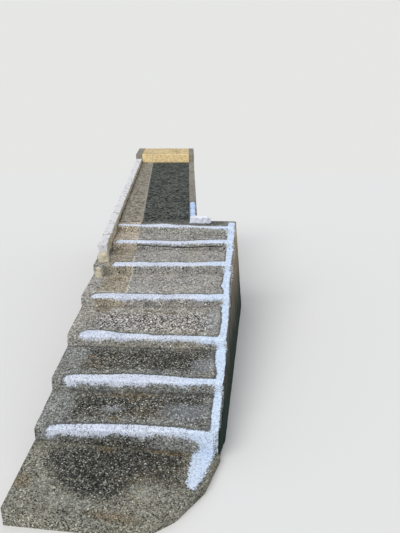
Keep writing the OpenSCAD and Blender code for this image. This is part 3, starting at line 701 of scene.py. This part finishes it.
walk_concrete = brushed_walk("brushed_walk_concrete", "#343836", "#545650", 0.34, 0.54)
strip_walk = brushed_walk("trodden_strip_concrete", "#736d63", "#918b7d", 0.08, 0.32)
# the upper step and its strip are painted warm yellow as painted sunlight, and the riser brighter
# still as a sunlit face
sunlit_upper_walk = brushed_walk("painted_sunlight_upper_step_concrete", "#a08a62", "#dfcc9e", 0.1, 0.2)
sunlit_upper_face = brushed_walk("painted_sunlight_upper_riser_concrete", "#e2c893", "#f2d8a2", 0.05, 0.12)


def walk_marks(points, facing, middle):
    """How far each point lies from the seam, 494 mm from the right edge, 564 at the top."""
    seam_start, seam_drift = 0.494, 0.0297
    out = points - np.array(walk_start)
    off = out @ np.array(walk_right) + seam_start + seam_drift * out @ np.array(walk_up)
    return {"seam": np.abs(off)}


for name, slot, finish, face_finish in (
        ("walk_slab", "walk_concrete", walk_concrete, walk_concrete),
        ("walk_strip", "strip_concrete", strip_walk, strip_walk),
        ("upper_step", "tread_concrete", sunlit_upper_walk, sunlit_upper_face),
        ("upper_strip", "strip_concrete", sunlit_upper_walk, sunlit_upper_face)):
    bm = sliced(name, lambda n, c: n.z > 0.3 or n.dot(walk_up) < -0.5,
                [(along, 0.012) for along in (walk_right, walk_up, upward)])
    for face in bm.faces:
        face.material_index = int(face.normal.dot(walk_up) < -0.5)
    laid(name + "_worn", bm, [finish, face_finish], walk_marks)

# Kerb: six precast stones end to end on the left wall, and an L-shaped lump of mortar at
# the foot of the walk's right edge. Both are whitewashed, and the wash is chipping off; on
# the lump's side leg the wash is painted bluer and darker, as painted shade.


def whitewashed(name, wash_low, wash_high, under, loss):
    """Lime wash brushed on rough concrete: chalky, chipped in flakes of 10 to 40 mm."""
    material, tree = unfinished(name)
    place = node(tree, "TexCoord").outputs["Object"]
    cloud = node(tree, "TexNoise", {"Vector": place, "Scale": 14, "Detail": 6, "Roughness": 0.65})
    flake = node(tree, "TexNoise", {"Vector": place, "Scale": 26, "Detail": 4, "Roughness": 0.6})
    sand = node(tree, "TexNoise", {"Vector": place, "Scale": 220, "Detail": 2})
    kept = node(tree, "MapRange", {"Value": flake, "From Min": 0.29 + loss,
                                   "From Max": 0.34 + loss})
    wash = node(tree, "Mix", {"Factor": cloud, "A": wash_low, "B": wash_high}, data_type="RGBA")
    sandy = node(tree, "MapRange", {"Value": sand, "From Min": 0.3, "From Max": 0.7,
                                    "To Min": 0.7, "To Max": 1.2})
    core = node(tree, "Mix", {"Factor": 1.0, "A": under, "B": sandy}, data_type="RGBA",
                blend_type="MULTIPLY")
    colour = node(tree, "Mix", {"Factor": kept, "A": core, "B": wash}, data_type="RGBA")
    height = node(tree, "Math", {0: kept, 1: 1.5, 2: sand}, operation="MULTIPLY_ADD")
    bump = node(tree, "Bump", {"Height": height, "Strength": 0.5, "Distance": 0.0015})
    shader = node(tree, "BsdfPrincipled", {"Base Color": colour, "Roughness": 0.85,
                                           "Specular IOR Level": 0.3, "Normal": bump})
    node(tree, "OutputMaterial", {"Surface": shader})
    return material


kerb_wash = whitewashed("whitewashed_precast_kerb", "#c0c1c2", "#e4e4e3", "#a39b8d", 0.07)
bare_kerb = whitewashed("bare_precast_kerb", "#cfcabb", "#e0dac9", "#c2b294", 0.19)
mortar_wash = whitewashed("whitewashed_lump_mortar", "#cdd3e3", "#f4f5f9", "#a09a8c", 0.06)
# the wash of the lump's side leg: the same lime wash painted bluer and darker, as painted shade
shaded_leg_wash = whitewashed("painted_shade_whitewashed_mortar", "#a3bcdf", "#c6daf3", "#84868a", 0.06)


def round_off(bm, times):
    """Rounds a lump by smoothing every vertex above its foot, again and again."""
    bed = min(v.co.z for v in bm.verts) + 0.004
    free = [v for v in bm.verts if v.co.z > bed and all(f.smooth for f in v.link_faces)]
    for _ in range(times):
        bmesh.ops.smooth_vert(bm, verts=free, factor=0.5, use_axis_x=True, use_axis_y=True,
                              use_axis_z=True)


# the net that cuts up a kerb stone or a lump
lump_net = 0.010
for n in range(1, 7):
    name = f"kerb_stone_{n}"
    bm = sliced(name, lambda n, c: n.z > underside,
                [(walk_right, lump_net), (walk_up, 0.012), (upward, lump_net)])
    for face in bm.faces:
        face.material_index = int(face.normal.dot(walk_right) > 0.6)
    round_off(bm, 6)
    laid(name + "_worn", bm, [kerb_wash, bare_kerb], swell=0.012,
         pit=0.003, lumps=12)
# the two legs of the L: the far one's end face lies against the near one and isn't worn
for name, wash, swell, joined in (("corner_kerb_front", mortar_wash, 0.026, -upward),
                                  ("corner_kerb_side", shaded_leg_wash, 0.014, -walk_up)):
    bm = sliced(name, lambda n, c: n.z > underside and n.dot(joined) < 0.7,
                [(along, lump_net) for along in (walk_right, walk_up, upward)])
    round_off(bm, 70)
    laid(name + "_worn", bm, [wash], swell=swell, pit=0.008, lumps=13)

# Edge stones: two loose field stones set on the left wall's top below the kerb, warm
# beige, split and rounded by weather.


def split_rock(name, low, high):
    """Field stone split along its bed: rough pale faces, grain of 4 mm, grey spots."""
    material, tree = unfinished(name)
    place = node(tree, "TexCoord").outputs["Object"]
    bedding = node(tree, "Mapping", {"Vector": place, "Rotation": (0.5, 0.3, 0),
                                     "Scale": (1, 1, 2.5)})
    beds = node(tree, "TexNoise", {"Vector": bedding, "Scale": 22, "Detail": 6, "Roughness": 0.6})
    grain = node(tree, "TexNoise", {"Vector": place, "Scale": 230, "Detail": 3, "Roughness": 0.7})
    tint = node(tree, "Mix", {"Factor": beds, "A": low, "B": high}, data_type="RGBA")
    grainy = node(tree, "MapRange", {"Value": grain, "From Min": 0.3, "From Max": 0.7,
                                     "To Min": 0.78, "To Max": 1.18})
    rough = node(tree, "Mix", {"Factor": 1.0, "A": tint, "B": grainy}, data_type="RGBA",
                 blend_type="MULTIPLY")
    cell = node(tree, "TexNoise", {"Vector": place, "Scale": 48, "Detail": 4})
    spotted = node(tree, "MapRange", {"Value": cell, "From Min": 0.58, "From Max": 0.66,
                                      "To Max": 0.55})
    colour = node(tree, "Mix", {"Factor": spotted, "A": rough, "B": "#807a66"}, data_type="RGBA")
    bump = node(tree, "Bump", {"Height": beds, "Strength": 0.7, "Distance": 0.006})
    shader = node(tree, "BsdfPrincipled", {"Base Color": colour, "Roughness": 0.9,
                                           "Specular IOR Level": 0.3, "Normal": bump})
    node(tree, "OutputMaterial", {"Surface": shader})
    return material


edge_stone_rock = split_rock("beige_field_stone", "#a79e86", "#e9e1cb")
for name in ("edge_stone_1", "edge_stone_2"):
    bm = sliced(name, lambda n, c: n.z > underside,
                [(along, 0.008) for along in (walk_right, walk_up, upward)])
    round_off(bm, 8)
    laid(name + "_worn", bm, [edge_stone_rock], swell=0.026, pit=0.004, lumps=13)

# Stage: a plain pale floor under a pale sky of even light, one broad soft lamp, and the
# camera at a standing eye's height in front of the flight.

floor_mesh = bpy.data.meshes.new("floor")
bm = bmesh.new()
bmesh.ops.create_circle(bm, cap_ends=True, segments=96, radius=40)
bm.to_mesh(floor_mesh)
bm.free()
floor = bpy.data.objects.new("floor", floor_mesh)
bpy.context.scene.collection.objects.link(floor)
floor_paint, floor_tree = unfinished("matt_floor_paint")
even = node(floor_tree, "BsdfDiffuse", {"Color": "#e4e3df"})
node(floor_tree, "OutputMaterial", {"Surface": even})
floor_mesh.materials.append(floor_paint)

world = bpy.data.worlds.new("pale_studio")
world.use_nodes = True
bpy.context.scene.world = world
sky_tree = world.node_tree
sky_tree.nodes.clear()
path = node(sky_tree, "LightPath")
seen = node(sky_tree, "Math", {0: path.outputs["Is Camera Ray"],
                               1: path.outputs["Is Glossy Ray"]}, operation="MAXIMUM")
seen_too = node(sky_tree, "Math", {0: seen, 1: path.outputs["Is Transmission Ray"]},
                operation="MAXIMUM")
lighting = node(sky_tree, "Background", {"Color": "#f3f6ff", "Strength": 0.62})
backdrop = node(sky_tree, "Background", {"Color": "#e6e7e5", "Strength": 1.0})
both = node(sky_tree, "MixShader", {0: seen_too, 1: lighting, 2: backdrop})
node(sky_tree, "OutputWorld", {"Surface": both})


# a lamp high up in front and to the left, broad enough to give shadows a soft edge
lamp = bpy.data.lights.new("softbox", "SUN")
lamp.angle, lamp.energy = math.radians(50), 2.0
softbox = bpy.data.objects.new("softbox", lamp)
softbox.rotation_euler = (math.radians(44), 0, math.radians(-28))
bpy.context.scene.collection.objects.link(softbox)

# a 27 mm lens at eye height, 1.5 m over the ground, looking a little down and to the left
camera = bpy.data.objects.new("camera", bpy.data.cameras.new("camera"))
camera.location = right_end + Vector((0.0900, -1.7580, 1.54))
camera.rotation_euler = (math.radians(74.8), 0, math.radians(6.4))
camera.data.lens, camera.data.sensor_width = 27.02, 36
bpy.context.scene.collection.objects.link(camera)
bpy.context.scene.camera = camera
bpy.context.scene.view_settings.view_transform = "Standard"
